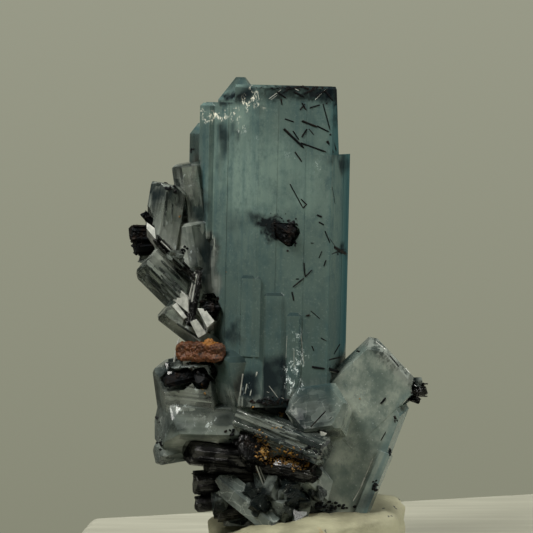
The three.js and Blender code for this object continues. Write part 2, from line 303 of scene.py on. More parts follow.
putty = added("putty_wad", bpy.ops.mesh.primitive_uv_sphere_add, segments=96, ring_count=48, radius=1.0)
for vertex in putty.data.vertices:
    x, y, z = vertex.co
    ring = max(math.hypot(x, y), 1e-6)
    angle = math.atan2(y, x)
    waves = sum(depth * math.sin(count * angle + shift) for count, shift, depth in PUTTY_WAVES)
    reach = squared(ring) * (1 + waves)
    x, y = reach * math.cos(angle), reach * math.sin(angle)
    slope = 1 + PUTTY_LEAN[0] * x + PUTTY_LEAN[1] * y - PUTTY_ROUNDING * x * x
    slope += PUTTY_THUMBING * math.sin(5 * angle) * reach
    slope -= (PUTTY_FRONT_DIP - PUTTY_LIP * ramp(abs(x), 0.3, 0.0)) * ramp(y, 0.3, -0.4)
    height = 0.5 + 0.5 * squared(z)
    point = Vector((x * PUTTY_RADII[0], y * PUTTY_RADII[1], height * PUTTY_HEIGHT * slope))
    swell = pushed(point, PUTTY_LUMPS) * min(1.0, 4 * height)
    point += Vector((x, y, 0.8 * height)) * swell
    point.z = max(point.z, 0.0)
    vertex.co = point * MM
bpy.ops.object.shade_smooth()

cream = Tree(bpy.data.materials.new("kneaded_cream_putty"))
spot = cream.place()
smear = cream.noise(cream.vector("MULTIPLY", spot, (180, 180, 420)), 1.0, detail=5.0)
grit = cream.noise(spot, 2600.0, detail=2.0)
dirt = cream.noise(spot, 900.0, detail=2.0)
rusty = cream.noise(spot, 420.0, detail=4.0)
cream_colour = cream.mix(smear.between(0.3, 0.7), *CREAM_TINTS)
cream_east, _, _ = cream.axes(spot)
# Painted light: the putty's colour is painted paler towards the right, where more light falls.
cream_colour = cream.mix(cream_east.between(4.0 * MM, 9.0 * MM) * 0.6, cream_colour, CREAM_PAINTED_LIGHT)
cream_colour = cream.mix(rusty.between(0.66, 0.72), cream_colour, CREAM_RUSTY)
cream_colour = cream.mix(dirt.between(0.67, 0.71), cream_colour, CREAM_DIRT)
cream_relief = cream.bump(smear * 0.7 + grit * 0.3, 0.25 * MM)
cream_sockets = {"Base Color": cream_colour, "Roughness": 0.72, "Normal": cream_relief}
cream.surface(cream.node("ShaderNodeBsdfPrincipled", {}, cream_sockets))
dress(putty, cream.owner, "putty", "putty")

# Aquamarine: every crystal of it, grown together into one piece. The main prism and the pair at its right
# are cloudy. The crystals at its left and foot are clearer, dark inside and full of cracks whose pale
# lines are a painted highlight. Its clouds, smoke, veils and painted sparkles are soft patches, each with
# a centre, three radii and a strength. Some clouds and veils are painted light, and the tops of its steps
# are painted shade.
PALE_CLOUDS_AND_LIGHT = (
    ((-4.4, -4.0, 37.6), (7.2, 9.0, 7.6), 0.80),
    ((-5.8, -4.0, 36.4), (3.6, 8.0, 4.4), 0.45),
    ((0.8, -4.0, 35.6), (3.8, 8.0, 4.6), 0.45),
    # Painted light: this patch lightens the crown's upper left, where it glints.
    ((-7.4, -4.0, 43.6), (3.8, 8.0, 2.2), 0.90),
    ((-9.4, -2.0, 38.0), (1.6, 6.0, 6.0), 0.40),
    ((-0.4, -4.0, 27.0), (4.4, 8.0, 4.4), 0.25),
    ((-5.2, -4.0, 24.5), (2.6, 7.0, 4.0), 0.20),
)
SMOKE = (
    ((-4.6, -6.4, 33.4), (1.6, 3.0, 1.0), 0.45),
    ((-6.8, -6.0, 32.9), (4.4, 5.0, 1.5), 0.34),
    ((-7.4, -6.0, 30.8), (2.6, 5.0, 2.6), 0.26),
    ((-5.4, -5.5, 17.6), (3.6, 5.0, 3.4), 0.50),
    ((-8.3, 0.0, 38.6), (0.7, 60.0, 4.4), 0.45),
    ((-6.6, 1.0, 45.9), (2.4, 60.0, 1.4), 0.45),
    ((-5.5, -5.8, 16.5), (1.9, 4.0, 2.1), 0.80),
    ((-0.6, -8.0, 13.4), (0.9, 4.0, 0.9), 0.70),
    ((-10.9, -3.0, 30.0), (1.4, 3.5, 2.0), 0.70),
    ((-8.4, -5.0, 13.0), (1.7, 4.0, 1.1), 0.85),
    ((-7.2, -5.5, 21.8), (1.3, 3.0, 1.8), 0.80),
    ((-6.4, -5.5, 20.8), (1.0, 3.0, 1.0), 0.50),
    ((-8.4, 0.0, 41.4), (0.7, 60.0, 1.6), 0.60),
    ((-7.3, 0.0, 41.8), (0.7, 60.0, 1.3), 0.55),
    ((-6.6, 0.0, 41.0), (0.5, 60.0, 1.2), 0.55),
    ((-4.4, 0.0, 43.6), (1.0, 60.0, 1.2), 0.30),
    ((-9.2, 0.0, 44.6), (0.9, 60.0, 0.8), 0.40),
    ((-6.0, 0.0, 45.2), (1.5, 60.0, 1.0), 0.55),
    ((-10.3, -2.5, 33.4), (0.8, 3.0, 2.0), 0.95),
    ((-9.9, -3.5, 28.0), (0.8, 3.0, 2.6), 0.95),
    ((-9.7, -3.5, 24.4), (0.8, 3.0, 2.2), 0.90),
    ((-8.8, -2.0, 31.0), (1.2, 3.0, 0.8), 0.50),
    ((-14.4, -3.0, 35.4), (1.7, 3.0, 1.6), 0.95),
    ((3.9, -3.0, 38.4), (1.2, 9.0, 1.8), 0.75),
    ((2.6, -3.0, 39.2), (1.4, 9.0, 0.8), 0.60),
    ((3.8, -2.6, 29.8), (1.0, 9.0, 0.7), 0.90),
    ((-3.4, -6.0, 14.5), (2.8, 4.0, 1.1), 1.00),
    ((-2.0, -7.4, 9.2), (3.8, 4.0, 1.7), 1.50),
    ((-1.6, -8.2, 11.4), (4.6, 4.0, 2.2), 0.35),
    ((1.0, -4.0, 8.4), (2.4, 5.0, 2.0), 0.60),
    ((0.6, -7.0, 14.0), (3.6, 4.0, 2.6), 0.22),
    ((-7.4, -5.0, 10.8), (2.0, 4.0, 1.6), 0.70),
    ((-9.6, -5.0, 18.4), (2.0, 3.0, 1.8), 0.70),
    ((-13.0, -5.0, 17.6), (2.4, 3.0, 1.6), 0.70),
    ((2.0, -3.0, 4.0), (3.4, 5.0, 1.4), 0.90),
    ((6.0, -3.0, 5.2), (1.8, 4.0, 1.6), 0.75),
)
SOOT = (
    ((-2.9, -6.6, 32.0), (1.7, 3.0, 1.8), 1.50),
    ((-3.4, -6.6, 32.7), (1.6, 3.0, 1.3), 0.90),
    ((-4.4, -6.5, 33.4), (1.4, 3.0, 1.0), 0.45),
    ((-2.6, 0.0, 45.6), (2.6, 60.0, 1.4), 0.50),
    ((-0.4, 0.0, 45.8), (2.6, 60.0, 1.4), 0.60),
    ((2.2, 0.0, 45.6), (2.2, 60.0, 1.6), 0.80),
    ((3.0, 0.0, 43.6), (1.0, 60.0, 2.2), 0.50),
    ((-7.6, 0.0, 45.4), (1.5, 60.0, 0.9), 0.80),
    ((-8.6, 0.0, 44.2), (0.8, 60.0, 0.7), 0.70),
)
# Grey veils: milky veils, partly painted light that lightens faces in shade, like the block's underside.
GREY_VEILS_AND_LIGHT = (
    ((-13.0, -3.6, 31.2), (3.4, 4.0, 4.4), 1.60),
    ((-10.0, -4.8, 12.4), (4.6, 3.0, 2.8), 0.65),
    ((-11.0, -4.8, 10.7), (4.4, 5.0, 1.8), 2.40),
    ((-4.8, -6.4, 13.6), (2.2, 3.0, 0.9), 0.60),
    ((-12.8, -5.0, 15.0), (3.0, 3.0, 3.2), 0.42),
    ((-7.0, -4.5, 17.0), (2.4, 3.0, 3.4), 0.35),
    ((-5.8, -5.0, 4.6), (2.4, 3.0, 2.0), 0.45),
    ((-11.8, -4.2, 22.6), (4.4, 4.0, 2.8), 1.80),
    ((-11.6, -2.0, 36.6), (1.4, 3.0, 2.4), 0.70),
    ((-9.2, -3.6, 27.0), (1.3, 4.0, 5.0), 0.50),
    ((1.8, -4.5, 6.4), (2.6, 5.0, 2.8), 0.80),
)
CLEAR_RIMS = (
    ((-11.0, 0.8, 39.5), (1.6, 4.0, 4.4), 1.0),
    ((-6.8, 2.8, 46.8), (2.6, 4.0, 1.8), 1.0),
    ((-12.0, -1.6, 37.8), (1.6, 3.0, 1.6), 0.7),
    ((-13.6, -3.9, 23.8), (1.6, 3.0, 1.4), 0.7),
    ((-14.6, -4.3, 9.8), (1.6, 3.0, 1.4), 0.6),
    ((-14.8, -4.0, 14.4), (1.2, 4.0, 4.0), 0.6),
)
# Painted sparkles: patches where small pale and golden glints are painted into the crystal's colour.
PAINTED_GLINT_PATCHES = (
    ((-9.4, -4.0, 43.1), (1.6, 9.0, 1.2), 1.5),
    ((-7.8, -4.0, 43.4), (2.0, 9.0, 1.2), 1.8),
    ((-5.5, -5.0, 44.8), (1.8, 9.0, 1.7), 1.6),
    ((-3.8, -5.0, 43.2), (1.4, 9.0, 1.0), 0.7),
    ((-6.4, -5.0, 41.8), (0.8, 9.0, 0.8), 0.7),
    ((-2.0, -6.0, 39.9), (1.2, 3.0, 0.8), 0.7),
    ((-4.4, -6.0, 40.8), (0.6, 3.0, 0.6), 0.5),
    ((0.9, -6.0, 38.0), (0.8, 3.0, 0.9), 0.8),
    ((-1.0, -6.5, 17.8), (1.2, 2.0, 3.4), 1.6),
    ((-1.0, -6.5, 21.6), (1.1, 2.0, 1.6), 0.7),
    ((-5.6, -5.0, 16.4), (1.4, 3.0, 2.2), 0.6),
    ((-3.4, -6.5, 14.8), (1.4, 3.0, 0.9), 0.6),
    ((-12.6, -4.8, 14.2), (1.6, 3.0, 1.2), 0.7),
    ((-10.2, -4.8, 12.8), (2.0, 3.0, 1.4), 0.8),
    ((-11.6, -4.8, 16.0), (1.4, 3.0, 0.9), 0.8),
    ((-13.8, -4.8, 11.8), (1.0, 3.0, 1.2), 0.6),
    ((-11.8, -4.2, 22.8), (3.0, 3.0, 1.8), 0.7),
    ((-12.0, -3.6, 30.0), (2.2, 3.0, 2.0), 0.6),
    ((-11.8, -2.6, 36.6), (1.4, 3.0, 1.6), 0.7),
    ((-8.9, -4.5, 31.1), (0.9, 3.0, 0.4), 1.2),
    ((-0.4, -5.0, 5.4), (3.2, 5.0, 1.8), 0.5),
    ((5.8, -4.5, 15.2), (2.4, 4.0, 3.4), 0.22),
    ((4.9, -4.5, 11.6), (1.9, 4.0, 1.7), 0.30),
)
MOSAIC = 0.6
DRIFTS = ((0.42, 0.9), (1.6, 0.3))
DRIFT_SEED = 5
WELD = 0.002
FLAT_ANGLE = math.radians(0.6)
BERYL_IOR = 1.58
BODY_BLUES = ((0.068, 0.103, 0.094), (0.096, 0.142, 0.128))
HEART_MILK_AND_LIGHT = (0.165, 0.236, 0.206)
MOTTLE_BLUE = (0.034, 0.070, 0.078)
BAND_BLUE = (0.028, 0.076, 0.088)
BODY_GRAIN = (0.22, 0.27, 0.25)
PAIR_MILKS = ((0.095, 0.126, 0.112), (0.310, 0.345, 0.294))
PAIR_MOTTLE = (0.072, 0.104, 0.098)
PAIR_GRAIN = (0.42, 0.46, 0.43)
PAIR_BLUE = (0.075, 0.135, 0.140)
STREAK_GREYS = ((0.012, 0.017, 0.017), (0.19, 0.21, 0.19))
RIB_GREYS = ((0.016, 0.021, 0.020), (0.29, 0.32, 0.285))
SMOKY_GREYS = ((0.013, 0.018, 0.018), (0.150, 0.178, 0.165))
SMOKY_MOTTLE = (0.024, 0.034, 0.035)
VEIL_DARK = (0.075, 0.092, 0.082)
VEIL_AND_LIGHT_GREYS = ((0.21, 0.238, 0.210), (0.44, 0.47, 0.42))
CRACK_PAINTED_HIGHLIGHT = (0.36, 0.39, 0.36)
EDGE_BLUES = ((0.014, 0.058, 0.068), (0.042, 0.102, 0.104))
SMOKE_AND_PAINTED_SHADE_BLACK = (0.006, 0.012, 0.015)
CROWN_BLACK = (0.010, 0.017, 0.016)
SOOT_BLACK = (0.005, 0.008, 0.010)
SPARKLE_TINTS = ((0.66, 0.74, 0.75), (0.90, 0.86, 0.70))

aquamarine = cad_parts["aquamarine"].copy()
aquamarine.data = aquamarine.data.copy()
aquamarine.parent = None
aquamarine.name = "aquamarine_crystals"
scene.collection.objects.link(aquamarine)
pick(aquamarine)
bpy.ops.object.mode_set(mode="EDIT")
bpy.ops.mesh.select_all(action="SELECT")
bpy.ops.mesh.remove_doubles(threshold=WELD * MM)
bpy.ops.mesh.dissolve_limited(angle_limit=FLAT_ANGLE)
bpy.ops.object.mode_set(mode="OBJECT")
bpy.ops.object.shade_flat()

crystal_mesh = aquamarine.data
growth = crystal_mesh.uv_layers.new(name="growth")
for face in crystal_mesh.polygons:
    corners = [crystal_mesh.vertices[i].co for i in face.vertices]
    edges = [after - before for before, after in zip(corners, corners[1:] + corners[:1])]
    along = max(edges, key=lambda edge: edge.length).normalized()
    across = face.normal.cross(along)
    for loop in face.loop_indices:
        corner = crystal_mesh.vertices[crystal_mesh.loops[loop].vertex_index].co
        growth.data[loop].uv = (corner.dot(along), corner.dot(across))

bpy.ops.object.mode_set(mode="EDIT")
for axis, (low, high) in enumerate(zip(*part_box("aquamarine"))):
    way = Vector((0.0, 0.0, 0.0))
    way[axis] = 1.0
    for number in range(1, math.ceil((high - low) / (MOSAIC * MM))):
        bpy.ops.mesh.select_all(action="SELECT")
        bpy.ops.mesh.bisect(plane_co=way * (low + number * MOSAIC * MM), plane_no=way)
bpy.ops.object.mode_set(mode="OBJECT")


def depth_in(table, point):
    """How deep a point lies in a table of soft patches, each a centre, three radii and a strength, in mm."""
    depth = 0.0
    for centre, radii, strength in table:
        if abs(point.z - centre[2]) < radii[2]:
            far = math.hypot(*[(point[i] - centre[i]) / radii[i] for i in range(3)])
            depth += strength * ramp(far, 1.0, 0.3)
    return depth


def paint(piece, name, channels):
    """Gives a piece a colour attribute: each channel is a function of a place that has drifted unevenly."""
    layer = piece.data.color_attributes.new(name, "FLOAT_COLOR", "POINT")
    for vertex, cell in zip(piece.data.vertices, layer.data):
        point = vertex.co / MM
        point += sum((noise.noise_vector(point * pitch) * reach for pitch, reach in DRIFTS), Vector())
        cell.color = ([channel(point) for channel in channels] + [0.0, 0.0, 0.0])[:3] + [1.0]


def striped(point):
    """The spray at the left and the column across the foot, which are ribbed lengthwise."""
    inner = -9.7 + 1.5 * ramp(point.z, 31.5, 30.5)
    spray = ramp(point.x, inner, inner - 1.2) * ramp(point.z, 40.0, 38.0) * ramp(point.z, 17.5, 19.5)
    off_column = abs(point.z - 13.4 + 0.372 * (point.x + 6.6))
    column = ramp(off_column, 2.2, 1.6) * ramp(point.y, -4.6, -5.4)
    return max(spray, column)


def smoky(point):
    """The broken crystals round the foot."""
    foot = ramp(point.z, 18.5, 14.0) * ramp(point.x, 3.6, 1.4)
    block = ramp(point.x, -8.0, -9.0) * ramp(point.z, 20.0, 18.8)
    return max(foot, block) * (1 - striped(point))


def paired(point):
    """The two crystals at the right."""
    under = min(point.x - 4.0, 0.0) * 2.8 + 19.8 + max(point.x - 4.0, 0.0)
    return ramp(point.z, under + 0.4, under - 0.4) * ramp(point.x, 1.6, 2.6)


def inside(table):
    return lambda point: depth_in(table, point)


noise.seed_set(DRIFT_SEED)
paint(aquamarine, "zones", (striped, smoky, paired))
paint(aquamarine, "depths", (inside(PALE_CLOUDS_AND_LIGHT), inside(SMOKE), inside(SOOT)))
paint(aquamarine, "lights", (inside(GREY_VEILS_AND_LIGHT), inside(CLEAR_RIMS), inside(PAINTED_GLINT_PATCHES)))


def stepped(value, low, high):
    """0 at one coordinate in millimetres, 1 at the other, and smooth between."""
    return value.between(low * MM, high * MM)


gem = Tree(bpy.data.materials.new("cloudy_aquamarine"))
spot = gem.place()
east, north, up = gem.axes(spot)
in_stripes, in_smoky, in_pair = gem.painted("zones")
pale, smoke, soot = gem.painted("depths")
veils_and_light, rims, painted_glints = gem.painted("lights")
broken = (in_stripes + in_smoky).between(0.0, 1.0)
end_band = stepped(east * 0.685 + up * 0.729, 18.5, 19.3) * in_pair
lower_side = stepped(east * 0.932 - up * 0.362, 2.6, 3.9) * in_pair * (1 - stepped(up, 15.0, 16.5))
above_shoulder = stepped(up, 39.2, 39.4)
from_edge = east - up * 0.022 + 0.865 * MM + above_shoulder * 1.3 * MM
on_side = (1 - in_pair) * stepped(up, 17.0, 20.0)
edge_blue = stepped(from_edge, 3.1, 4.3) * on_side * 0.9
side_face = stepped(from_edge, 1.8, 2.6) * on_side * 0.85
_, _, upward = gem.axes(gem.node("ShaderNodeNewGeometry", {}, {}, "True Normal"))
# Painted shade: the upward faces of the raised steps on the main prism are made matt and painted darker.
painted_shade_on_tops = upward.between(0.1, 0.3) * (1 - stepped(up, 29.0, 30.0)) * (1 - broken) * (1 - in_pair)
tooth = stepped(east, -4.4, -4.1) * (1 - stepped(east, -2.3, -1.6)) * (1 - stepped(north, -5.6, -4.8))
tooth = tooth * (stepped(up, 26.6, 24.0) * 0.36 + stepped(up, 20.4, 18.6) * 0.9) * stepped(up, 14.0, 15.0)

lines = gem.vector("MULTIPLY", gem.node("ShaderNodeUVMap", {"uv_map": "growth"}, {}), (60, 2600, 0))
striae = gem.noise(lines, 1.0, detail=4.0)
bands = gem.noise(gem.vector("MULTIPLY", lines, (0.5, 0.35, 0)), 1.0, detail=3.0)
clouds = gem.noise(spot, 230.0, detail=6.0, roughness=0.6)
mottle = gem.noise(gem.vector("MULTIPLY", spot, (1.0, 1.0, 0.7)), 750.0, detail=6.0, roughness=0.75)
flecks = gem.noise(spot, 1500.0, detail=3.0)
grain = gem.noise(spot, 4200.0, detail=2.0)
# The milky heart is partly painted light, at the crown's upper left.
heart_and_light = pale * clouds.between(0.1, 0.6)
smoke = (smoke + tooth) * (clouds.between(0.25, 0.65) * 0.7 + 0.4)
crown_band = stepped(up + mottle * 1.6 * MM, 45.1, 45.8) * stepped(east, -5.6, -4.0)
crown_band = crown_band * (flecks.between(0.65, 0.35) * 0.6 + 0.35)
soot = soot * ((mottle + flecks).between(0.75, 1.2) * 0.75 + 0.35)
splinter, splinter_tints = gem.cells(gem.vector("MULTIPLY", lines, (10, 0.7, 0)))
facet, _ = gem.cells(gem.vector("MULTIPLY", lines, (7.5, 0.28, 0)))
ragged = gem.vector("SUBTRACT", gem.noise(spot, 420.0, detail=4.0, output="Color"), (0.5, 0.5, 0.5))
torn = gem.vector("ADD", spot, gem.vector("MULTIPLY", ragged, Vector((3.0, 3.0, 3.0)) * MM))
web = gem.node("ShaderNodeTexVoronoi", {"feature": "DISTANCE_TO_EDGE"}, {"Vector": torn, "Scale": 620.0})
cracks = 1 - web.between(0.0, 0.035)
glint, _ = gem.cells(gem.vector("MULTIPLY", torn, (9500, 9500, 3000)))
# Painted glints: pale flecks in the sparkle patches, which also make the skin milkier there.
sparkle = painted_glints * (glint.between(0.5, 1.0) * 0.85 + 0.15) * flecks.between(0.42, 0.62)

body = gem.mix(stepped(up, 22.0, 34.0), *BODY_BLUES)
body = gem.mix(heart_and_light.between(0.0, 1.0), body, HEART_MILK_AND_LIGHT)
body = gem.mix(mottle.between(0.42, 0.72) * 0.62, body, MOTTLE_BLUE)
block_blue = (1 - stepped(east, -8.6, -7.6)) * stepped(up, 30.0, 36.0) * 0.35
body = gem.mix(bands.between(0.45, 0.70) * (block_blue + 0.36), body, BAND_BLUE)
body = gem.mix(grain.between(0.55, 0.78) * 0.26, body, BODY_GRAIN)
pair_milk = gem.mix(clouds.between(0.34, 0.66), *PAIR_MILKS)
pair_milk = gem.mix(mottle.between(0.48, 0.68) * 0.65, pair_milk, PAIR_MOTTLE)
pair_milk = gem.mix(grain.between(0.62, 0.72) * 0.40, pair_milk, PAIR_GRAIN)
pair_milk = gem.mix(lower_side * bands.between(0.2, 0.6) * 0.85, pair_milk, PAIR_BLUE)
band_streaks = gem.mix((striae * 0.3 + mottle * 0.7).between(0.58, 0.44), *STREAK_GREYS)
body = gem.mix(in_pair, body, gem.mix(end_band * 0.8, pair_milk, band_streaks))
ribbed_glass = gem.mix((splinter + facet).between(0.5, 1.8) * striae.between(0.3, 0.6), *RIB_GREYS)
smoky_glass = gem.mix((clouds + facet * 0.15).between(0.38, 0.80), *SMOKY_GREYS)
smoky_glass = gem.mix(mottle.between(0.50, 0.72) * 0.6, smoky_glass, SMOKY_MOTTLE)
dark_glass = gem.mix(in_smoky, ribbed_glass, smoky_glass)
veil_tone = clouds.between(0.3, 0.7) * 0.55 + facet * 0.3 + striae.between(0.3, 0.7) * 0.15
# The veils' lighter grey is partly painted light.
veil_light = gem.mix(in_stripes + veils_and_light.between(1.0, 2.0), *VEIL_AND_LIGHT_GREYS)
veil_and_light_grey = gem.mix(veil_tone, VEIL_DARK, veil_light)
dark_glass = gem.mix(veils_and_light.between(0.0, 1.0), dark_glass, veil_and_light_grey)
# Painted highlight: pale lines along the cracks in the broken crystals.
dark_glass = gem.mix(cracks * clouds.between(0.40, 0.60) * in_smoky * 0.7, dark_glass, CRACK_PAINTED_HIGHLIGHT)
body = gem.mix(broken * 0.94, body, dark_glass)
body = gem.mix(edge_blue, body, gem.mix(bands.between(0.3, 0.7), *EDGE_BLUES))
# Smoke and the painted shade on the step tops darken the body towards the same black.
body = gem.mix(smoke.between(0.0, 1.0) + painted_shade_on_tops * 0.6, body, SMOKE_AND_PAINTED_SHADE_BLACK)
body = gem.mix(crown_band, body, CROWN_BLACK)
body = gem.mix(soot.between(0.0, 0.8), body, SOOT_BLACK)
sparkle_colour = gem.mix(stepped(up, 41.0, 43.0) * 0.8, *SPARKLE_TINTS)
body = gem.mix(sparkle.between(0.1, 1.0), body, sparkle_colour)
milky_share = 0.80 - rims * 0.55 - in_stripes * 0.25 + veils_and_light * 0.2 + clouds * 0.1 + heart_and_light * 0.1
milky_share = milky_share + smoke + soot + crown_band * 0.5 + sparkle + edge_blue * 0.4

soft_edges = gem.node("ShaderNodeBevel", {"samples": 4}, {"Radius": 0.08 * MM})
tilt = gem.vector("SUBTRACT", splinter_tints, (0.5, 0.5, 0.5))
tilt = gem.vector("MULTIPLY", tilt, (0.2, 0.2, 0.2))
tilted = gem.node("ShaderNodeVectorMath", {"operation": "SCALE"}, {0: tilt, "Scale": broken})
facets = gem.vector("ADD", soft_edges, tilted)
facets = gem.node("ShaderNodeVectorMath", {"operation": "NORMALIZE"}, {0: facets})
ribbing = in_stripes * 0.6 + 0.2
relief = gem.bump(striae * ribbing + flecks * 0.2, 0.03 * MM, facets)
milk_sockets = {
    "Base Color": body,
    "Roughness": 0.26,
    "IOR": BERYL_IOR,
    "Specular IOR Level": 0.3,
    "Normal": relief,
}
milk = gem.node("ShaderNodeBsdfPrincipled", {}, milk_sockets)
clear_sockets = {
    "Base Color": (0.95, 0.98, 0.97),
    "Roughness": 0.08,
    "IOR": BERYL_IOR,
    "Transmission Weight": 1.0,
    "Normal": relief,
}
clear = gem.node("ShaderNodeBsdfPrincipled", {}, clear_sockets)
matt_sockets = {"Base Color": body, "Roughness": 1.0, "Specular IOR Level": 0.0, "Normal": relief}
matt = gem.node("ShaderNodeBsdfPrincipled", {}, matt_sockets)
gem_skin = gem.node("ShaderNodeMixShader", {}, {0: milky_share, 1: clear, 2: milk})
gem_skin = gem.node("ShaderNodeMixShader", {}, {0: side_face + painted_shade_on_tops, 1: gem_skin, 2: matt})
gem_inside = gem.node("ShaderNodeVolumeAbsorption", {}, {"Color": (0.50, 0.66, 0.63), "Density": 200.0})
gem.surface(gem_skin, Volume=gem_inside)
dress(aquamarine, gem.owner, "aquamarine", "aquamarine")

# Schorl: black tourmaline prisms with ribbed, bulging sides and broken ends, grown through the aquamarine.
# Each bunch is one piece: its crystals, in their seats, with thinner splinters lying along them.
SCHORL_BUNCHES = {
    "schorl_base_bunch": (
        ((-5.8, -3.4, 9.2), (-11.7, -5.6, 10.0), 2.2),
        ((-5.2, -2.8, 8.2), (-9.9, -4.6, 8.6), 1.3),
        ((-5.6, -2.4, 7.0), (-11.2, -3.8, 6.8), 2.1),
        ((-5.2, -2.4, 5.3), (-11.0, -3.7, 4.6), 1.4),
        ((-4.4, -2.2, 4.6), (-9.0, -3.3, 3.7), 1.6),
        ((-5.4, -1.8, 8.8), (-5.2, -5.8, 10.8), 3.2),
        ((-5.0, -3.6, 8.8), (1.0, -6.2, 8.0), 1.8),
    ),
    "schorl_left_knob": (
        ((-14.4, -2.2, 31.4), (-17.5, -3.0, 31.5), 1.8),
        ((-14.6, -2.4, 30.4), (-17.1, -3.2, 30.2), 1.5),
        ((-14.8, -2.6, 32.0), (-16.2, -3.0, 33.6), 0.5),
    ),
    "schorl_left_rods": (
        ((-10.9, -4.3, 26.7), (-15.0, -5.3, 31.0), 1.0),
        ((-10.7, -4.0, 28.0), (-11.7, -5.2, 22.5), 0.9),
    ),
    "schorl_side_stub": (((-9.3, -2.0, 24.1), (-9.7, -5.1, 24.3), 1.8),),
    "schorl_face_prism": (((-5.1, -4.9, 33.4), (-1.3, -6.2, 31.2), 1.8),),
    "schorl_on_block": (
        ((-9.2, -4.2, 18.2), (-14.0, -6.4, 17.0), 1.3),
        ((-10.0, -4.4, 16.8), (-10.6, -6.6, 17.4), 1.1),
    ),
    "schorl_right_corner": (
        ((9.8, -2.4, 15.9), (11.9, -3.2, 15.9), 1.6),
        ((9.9, -2.6, 15.4), (11.2, -3.6, 15.0), 0.8),
    ),
    "schorl_back_bunch": (
        ((-4.6, 3.2, 6.4), (-9.6, 6.2, 8.4), 2.4),
        ((-4.4, 3.0, 5.2), (-8.6, 6.6, 5.4), 2.0),
        ((-4.0, 3.4, 5.8), (-5.2, 8.0, 6.6), 2.2),
    ),
}
RIBS = 14
RIB_DEPTH = 0.36
RIB_PITCH = 5.0
BREAK_START = 0.42
BREAK_DEPTH = 0.10
BREAK_DROP = 0.03
TIP_START = 0.46
TIP_TAPER = 0.08
SEAT_FILL = 0.2
SPLINTERS = 10
SPLINTER_SIDES = 4
SPLINTER_FLATNESS = (0.35, 0.8)
SPLINTER_OFFSET = (0.42, 0.54)
SPLINTER_WIDTH = (0.22, 0.5)
SPLINTER_START = (0.0, 0.45)
SPLINTER_END = (0.8, 1.05)
BUNCH_SEED = 11
RIB_SEEDS = (0, 50)
LOOSE_BUNDLES = {
    "schorl_left_rods": (0.45, 11),
    "schorl_face_prism": (0.95, 9),
    "schorl_side_stub": (0.6, 9),
    "schorl_on_block": (0.75, 11),
    "schorl_left_knob": (0.85, 11),
    "schorl_right_corner": (0.5, 7),
}
DULL_BUNCHES = {"schorl_face_prism", "schorl_left_knob", "schorl_side_stub", "schorl_on_block"}
SCHORL_IOR = 1.64
BLACK_TINTS = ((0.002, 0.002, 0.002), (0.007, 0.006, 0.004))
DULL_TINTS = ((0.002, 0.003, 0.004), (0.010, 0.006, 0.004))


def axis_frame(foot, tip, width):
    """The matrix that stands a unit prism, from 0 to 1 along Z, on its foot and stretches it to its tip."""
    axis = tip - foot
    turn = axis.to_track_quat("Z", "Y").to_matrix().to_4x4()
    return Matrix.Translation(foot) @ turn @ Matrix.Diagonal((width / 2, width / 2, axis.length, 1.0))


def ringed_rod(name, sides, ring):
    """A rod along Z, 1 long about its middle, with a ring of corners set in short of its far end."""
    rod = added(name, bpy.ops.mesh.primitive_cylinder_add, vertices=sides, radius=1.0, depth=1.0)
    bpy.ops.object.mode_set(mode="EDIT")
    bpy.ops.mesh.select_all(action="SELECT")
    bpy.ops.mesh.bisect(plane_co=(0, 0, ring), plane_no=(0, 0, 1))
    bpy.ops.object.mode_set(mode="OBJECT")
    return rod


def ribbed_prism(foot, tip, width, sides, flatness, seed):
    """A schorl crystal: a cylinder whose side is drawn into sharp ribs and whose end is broken unevenly."""
    prism = ringed_rod("prism", sides, BREAK_START)
    stand = axis_frame(foot, tip, width)
    for vertex in prism.data.vertices:
        x, y, z = vertex.co
        side = Vector((x, y, 0.0))
        reach = 1 - RIB_DEPTH * abs(noise.noise(side * RIB_PITCH + Vector((0.0, 0.0, 9.1 * seed))))
        if z > 0:
            z += BREAK_DEPTH * noise.noise(side * 1.5 + Vector((0.0, seed, 0.0))) - BREAK_DROP
            reach -= TIP_TAPER * (z > TIP_START)
        vertex.co = (stand @ Vector((x * reach, y * reach * flatness, z + 0.5))) * MM
    return prism


def joined(name, pieces):
    """Several pieces as one, with flat faces."""
    pick(pieces[0])
    for piece in pieces:
        piece.select_set(True)
    bpy.ops.object.join()
    bpy.ops.object.shade_flat()
    bpy.context.object.name = name
    bpy.context.object.data.name = name
    return bpy.context.object


black = Tree(bpy.data.materials.new("ribbed_black_schorl"))
spot = black.place()
along_ribs = black.vector("MULTIPLY", black.node("ShaderNodeUVMap", {"uv_map": "UVMap"}, {}), (70, 4, 0))
ribs = black.noise(along_ribs, 1.0, detail=4.0)
stain = black.noise(spot, 700.0, detail=4.0)
crumbs = black.noise(spot, 3200.0, detail=3.0)
black_colour = black.mix(stain.between(0.5, 0.75), *BLACK_TINTS)
black_relief = black.bump(ribs * 0.8 + crumbs * 0.2, 0.09 * MM)
shiny_sockets = {
    "Base Color": black_colour,
    "Roughness": 0.11,
    "IOR": SCHORL_IOR,
    "Specular IOR Level": 0.5,
    "Normal": black_relief,
}
shiny = black.node("ShaderNodeBsdfPrincipled", {}, shiny_sockets)
deep_sockets = {
    "Base Color": black_colour,
    "Roughness": 0.4,
    "Specular IOR Level": 0.06,
    "Normal": black_relief,
}
deep = black.node("ShaderNodeBsdfPrincipled", {}, deep_sockets)
gloss = (ribs + stain).between(0.88, 1.08)
black.surface(black.node("ShaderNodeMixShader", {}, {0: gloss, 1: deep, 2: shiny}))

dull = Tree(bpy.data.materials.new("dull_black_schorl"))
brown = dull.noise(dull.place(), 1300.0, detail=3.0)
dull_colour = dull.mix(brown.between(0.45, 0.7), *DULL_TINTS)
dull_sockets = {"Base Color": dull_colour, "Roughness": 0.55, "Specular IOR Level": 0.12}
dull.surface(dull.node("ShaderNodeBsdfPrincipled", {}, dull_sockets))

